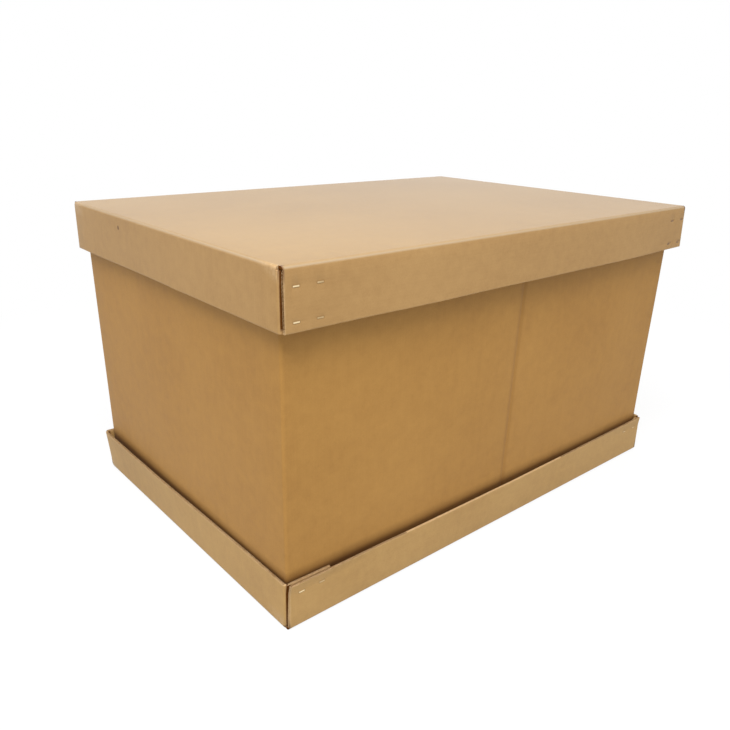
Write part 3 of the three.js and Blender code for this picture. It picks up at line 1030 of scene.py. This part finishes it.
def kraft_group():
    """Kraft liner: clouds, mottle, fibres and the faint washboard that the flutes print through it."""
    group, ins, outs = new_group("kraft_liner", [
        ("Vector", "Place", None), ("Vector", "Sheet", None), ("Color", "Liner", LID_LINER),
        ("Float", "Fold Wear", 0.1), ("Float", "Cut", 0.0), ("Float", "Fold", 0.0), ("Float", "Crease", 0.0),
        ("Float", "Crevice", 0.0),
    ], [("Color", "Color"), ("Float", "Roughness"), ("Float", "Height")])
    w = Wiring(group)
    place, sheet = ins.outputs["Place"], ins.outputs["Sheet"]
    cloud = w.noise(place, 4.0, 3.0)
    mottle = w.noise(place, 45.0, 6.0, 0.65)
    streak = w.noise(w.stretch(sheet, (12, 90, 1)), 1.0, 5.0, 0.6)
    fibre = w.noise(w.stretch(place, (700, 700, 420)), 1.0, 4.0, 0.7)
    parts = w.add("ShaderNodeSeparateXYZ")
    w.join(sheet, parts.inputs[0])
    turns = w.math("DIVIDE", parts.outputs["Y"], FLUTE_PITCH)
    flute = w.math("SINE", w.math("MULTIPLY", turns, 2 * math.pi))
    board = w.math("MULTIPLY", flute, WASHBOARD)
    tone = w.math("MULTIPLY", cloud, 0.28)
    for part, weight in ((mottle, 0.30), (streak, 0.10), (fibre, 0.30), (board, 0.06)):
        tone = w.math("ADD", tone, w.math("MULTIPLY", part, weight))
    tone = w.math("SUBTRACT", tone, 0.49)
    shade = w.ramp(w.math("ADD", tone, 0.5), LINER_SHADES)
    colour = w.blend(1.0, ins.outputs["Liner"], shade, "MULTIPLY")
    colour = w.blend(1.0, colour, (2, 2, 2, 1), "MULTIPLY")
    scuff = w.math("SUBTRACT", w.noise(place, 160.0, 4.0, 0.6), 0.30, clamp=True)
    scuff = w.math("MULTIPLY", scuff, 2.2, clamp=True)
    # Pale rub along the folds, partly a painted sheen
    colour = w.blend(w.math("MULTIPLY", ins.outputs["Fold"], ins.outputs["Fold Wear"]), colour, RUBBED_AND_SHEEN)
    wear_and_end_shade = w.math("MULTIPLY", ins.outputs["Cut"], w.math("MULTIPLY", scuff, 0.85))
    colour = w.blend(wear_and_end_shade, colour, SCUFFED)
    # Painted shade along the sleeve's creases
    colour = w.blend(w.math("MULTIPLY", ins.outputs["Crease"], 0.28), colour, CREASE_SHADE)
    # Painted shade in the slots, round the stitches and at the sleeve's foot
    colour = w.blend(w.math("MULTIPLY", ins.outputs["Crevice"], 0.92), colour, PAINTED_SHADE_AND_BLEMISH)
    speck = w.noise(place, 900.0, 2.0, 0.5)
    dark_speck = w.math("MULTIPLY", w.math("SUBTRACT", speck, 0.68, clamp=True), 3.0, clamp=True)
    colour = w.blend(dark_speck, colour, SPECK)
    w.join(colour, outs.inputs["Color"])
    w.join(w.math("ADD", w.math("MULTIPLY", mottle, 0.12), 0.55), outs.inputs["Roughness"])
    height = w.math("MULTIPLY", board, 0.5)
    height = w.math("ADD", height, w.math("MULTIPLY", fibre, 0.5))
    height = w.math("ADD", height, w.math("MULTIPLY", mottle, 0.6))
    w.join(height, outs.inputs["Height"])
    return group


def start_material(name, **settings):
    """A new material with its wiring, its shader and the place in the object's own frame."""
    material = bpy.data.materials.new(name)
    material.use_nodes = True
    w = Wiring(material.node_tree)
    shader = material.node_tree.nodes["Principled BSDF"]
    for label, value in settings.items():
        shader.inputs[label.replace("_", " ")].default_value = value
    return material, w, shader, w.add("ShaderNodeTexCoord").outputs["Object"]


def put_group(w, group, **values):
    node = w.add("ShaderNodeGroup", node_tree=group)
    for label, value in values.items():
        w.feed(node.inputs[label.replace("_", " ")], value)
    return node


def mark(w, name):
    """One of the attributes that mark_edges wrote."""
    return w.add("ShaderNodeAttribute", attribute_name=f"{name}_mark").outputs["Fac"]


def add_blemish(w, place, colour):
    """A small dark spot with a soft uneven rim."""
    ring = w.add("ShaderNodeVectorMath", operation="DISTANCE")
    w.join(place, ring.inputs[0])
    ring.inputs[1].default_value = BLEMISH_PLACE
    wander = w.math("MULTIPLY", w.noise(place, 400.0, 2.0), BLEMISH_UNEVEN)
    reach = w.math("ADD", ring.outputs["Value"], wander)
    inside = w.math("DIVIDE", w.math("SUBTRACT", BLEMISH_REACH, reach), BLEMISH_RIM, clamp=True)
    return w.blend(w.math("MULTIPLY", inside, 0.75), colour, PAINTED_SHADE_AND_BLEMISH)


def liner_material(name, group, colour, fold_rub_and_sheen, sheen, gloss, blemish=False):
    """Smooth kraft liner of one board."""
    material, w, shader, place = start_material(
        name, Specular_IOR_Level=gloss, Sheen_Weight=sheen, Sheen_Roughness=0.3)
    sheet = w.add("ShaderNodeUVMap", uv_map="sheet").outputs["UV"]
    liner = put_group(w, group, Place=place, Sheet=sheet, Liner=colour, Fold_Wear=fold_rub_and_sheen,
                      Cut=mark(w, "cut"), Fold=mark(w, "fold"), Crease=mark(w, "crease"),
                      Crevice=mark(w, "painted_shade"))
    face = liner.outputs["Color"]
    w.join(add_blemish(w, place, face) if blemish else face, shader.inputs["Base Color"])
    w.join(liner.outputs["Roughness"], shader.inputs["Roughness"])
    w.bump(liner.outputs["Height"], 0.25, 0.0006, shader)
    return material


def cut_edge_material(name):
    """Torn and crushed paper of the raw edges, paler than the liners, with loose fibres."""
    material, w, shader, place = start_material(name, Roughness=0.9, Specular_IOR_Level=0.0)
    fuzz = w.noise(place, 1400.0, 4.0, 0.7)
    patch = w.noise(place, 90.0, 3.0, 0.6)
    tone = w.math("ADD", w.math("MULTIPLY", fuzz, 0.6), w.math("MULTIPLY", patch, 0.4))
    colour = w.ramp(tone, [(0.30, CUT_DARK), (0.62, CUT_PALE)])
    # Painted shade where the raw edges lie in the slots and the trays' corners
    colour = w.blend(w.math("MULTIPLY", mark(w, "painted_shade"), 0.9), colour, PAINTED_SHADE_AND_BLEMISH)
    w.join(colour, shader.inputs["Base Color"])
    w.bump(fuzz, 0.5, 0.0004, shader)
    return material


def slot_shade_material(name):
    """Painted shade for the folds and raw ends in the slots: a mottled dark brown with no gloss."""
    material, w, shader, place = start_material(name, Roughness=1.0, Specular_IOR_Level=0.0)
    shade_noise = w.noise(place, 500.0, 4.0, 0.6)
    w.join(w.ramp(shade_noise, [(0.3, SLOT_SHADE_DARK), (0.7, SLOT_SHADE_PALE)]), shader.inputs["Base Color"])
    return material


def wire_material(name, colours, shine):
    """Flat stitching wire, drawn along its length; its copies carry painted light, from a painted glint on
    bright brass to painted shade.
    """
    dark, pale = colours
    material, w, shader, place = start_material(name, Metallic=shine)
    drawn = w.noise(w.stretch(place, (60, 900, 900)), 1.0, 4.0, 0.6)
    colour = w.ramp(drawn, [(0.3, dark), (0.7, pale)])
    w.join(colour, shader.inputs["Base Color"])
    w.join(w.math("ADD", w.math("MULTIPLY", drawn, 0.2), 0.22), shader.inputs["Roughness"])
    return material


def stand_for(piece, node, body):
    """The finished board rides on its body and takes the place of its CAD node."""
    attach(piece, body)
    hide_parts(node)


def seen_rays(w):
    """1 for the rays that show the background: the camera's own, and those that gloss or glass sends on."""
    rays = w.add("ShaderNodeLightPath")
    gloss = w.math("MAXIMUM", rays.outputs["Is Glossy Ray"], rays.outputs["Is Transmission Ray"])
    return w.math("MAXIMUM", rays.outputs["Is Camera Ray"], gloss)


def floor_material():
    """White floor that keeps the box's shadow. It is dimmer for the light it throws back than to the eye."""
    material, w, shader, place = start_material("studio_floor", Roughness=0.9)
    w.join(w.blend(seen_rays(w), FLOOR_BOUNCE, FLOOR_PALE), shader.inputs["Base Color"])
    glow = w.add("ShaderNodeEmission")
    glow.inputs["Color"].default_value = WHITE
    mix = w.add("ShaderNodeMixShader")
    reach = w.add("ShaderNodeVectorMath", operation="LENGTH")
    w.join(place, reach.inputs[0])
    far = w.math("SUBTRACT", reach.outputs["Value"], FLOOR_NEAR, clamp=True)
    w.join(w.math("MULTIPLY", seen_rays(w), w.math("MAXIMUM", far, FLOOR_GLOW)), mix.inputs[0])
    w.join(shader.outputs[0], mix.inputs[1])
    w.join(glow.outputs[0], mix.inputs[2])
    w.join(mix.outputs[0], material.node_tree.nodes["Material Output"].inputs["Surface"])
    return material


def build_floor():
    bpy.ops.mesh.primitive_plane_add(size=60, location=(0, 0, -0.0005))
    floor = bpy.context.object
    floor.name = "studio_floor"
    floor.data.materials.append(floor_material())


def build_world():
    """White to the eye, and a softer fill for the light on the box."""
    world = bpy.data.worlds.new("studio")
    bpy.context.scene.world = world
    world.use_nodes = True
    w = Wiring(world.node_tree)
    fill = world.node_tree.nodes["Background"]
    fill.inputs["Color"].default_value = WHITE
    fill.inputs["Strength"].default_value = WORLD_FILL
    white = w.add("ShaderNodeBackground")
    white.inputs["Color"].default_value = WHITE
    mix = w.add("ShaderNodeMixShader")
    w.join(seen_rays(w), mix.inputs[0])
    w.join(fill.outputs[0], mix.inputs[1])
    w.join(white.outputs[0], mix.inputs[2])
    w.join(mix.outputs[0], world.node_tree.nodes["World Output"].inputs["Surface"])


def add_area_light(name, place, target, size, power):
    data = bpy.data.lights.new(name, "AREA")
    data.size = size
    data.energy = power
    lamp = bpy.data.objects.new(name, data)
    bpy.context.scene.collection.objects.link(lamp)
    lamp.location = place
    aim = Vector(target) - Vector(place)
    lamp.rotation_euler = aim.to_track_quat("-Z", "Y").to_euler()
    return lamp


def build_camera():
    data = bpy.data.cameras.new("camera")
    data.sensor_width = SENSOR
    data.lens = CAMERA_LENS
    data.clip_start = 0.01
    data.clip_end = 100
    camera = bpy.data.objects.new("camera", data)
    bpy.context.scene.collection.objects.link(camera)
    azimuth = math.radians(CAMERA_AZIMUTH)
    elevation = math.radians(CAMERA_ELEVATION)
    turn = Matrix.Rotation(azimuth, 4, "Z") @ Matrix.Rotation(math.pi / 2 - elevation, 4, "X")
    turn = turn @ Matrix.Rotation(math.radians(CAMERA_ROLL), 4, "Z")
    camera.matrix_world = Matrix.Translation(CAMERA_PLACE) @ turn
    bpy.context.scene.camera = camera


def finish_stitches():
    """Copies of one wire with painted light: a painted glint on the stitches listed as bright, painted shade
    at the lid's right end, and painted half shade on the rest.
    """
    bright = wire_material("stitching_wire", GLINT_WIRE, 0.85)
    dull = wire_material("stitching_wire_half_shaded", HALF_SHADED_WIRE, 0.7)
    shaded_wire = wire_material("stitching_wire_shaded", SHADED_WIRE, 0.2)
    for name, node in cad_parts.items():
        if "staple" not in name:
            continue
        wire = dull
        if name.startswith(SHADED_STITCHES):
            wire = shaded_wire
        if name in GLINTING_STITCHES:
            wire = bright
        node.data.materials.clear()
        node.data.materials.append(wire)


def main():
    bpy.context.scene.view_settings.view_transform = "Standard"
    build_camera()
    build_world()
    build_floor()
    add_area_light("key", *KEY_LIGHT)
    add_area_light("back_fill", *BACK_LIGHT).visible_glossy = False
    kraft = kraft_group()
    base_face = liner_material("kraft_base_liner", kraft, BASE_LINER, *BASE_FINISH)
    lid_face = liner_material("kraft_lid_liner", kraft, LID_LINER, *LID_FINISH, blemish=True)
    # Lit copy of the lid's liner for its top, with a painted sheen
    lid_top = liner_material("kraft_lid_top_lit_copy", kraft, LID_TOP_LIT_COPY, *LID_TOP_LIT_COPY_FINISH)
    sleeve_face = liner_material("kraft_sleeve_liner", kraft, SLEEVE_LINER, *SLEEVE_FINISH)
    raw_edge = cut_edge_material("raw_board_edge")
    lid_place = Matrix.Translation((0, 0, LID[1].z)) @ Matrix.Rotation(math.pi, 4, "X")
    deselect_all()
    base_board = build_tray("base_tray", Matrix.Identity(4), base_shape, base_face, raw_edge)
    stand_for(base_board, "base_tray", "box")
    lid_board = build_tray("lid", lid_place, lid_shape, lid_face, raw_edge)
    lay_lit_top(lid_board, lid_top)
    stand_for(lid_board, "lid", "lid")
    stand_for(build_sleeve(sleeve_face, raw_edge), "sleeve", "box")
    finish_stitches()


main()
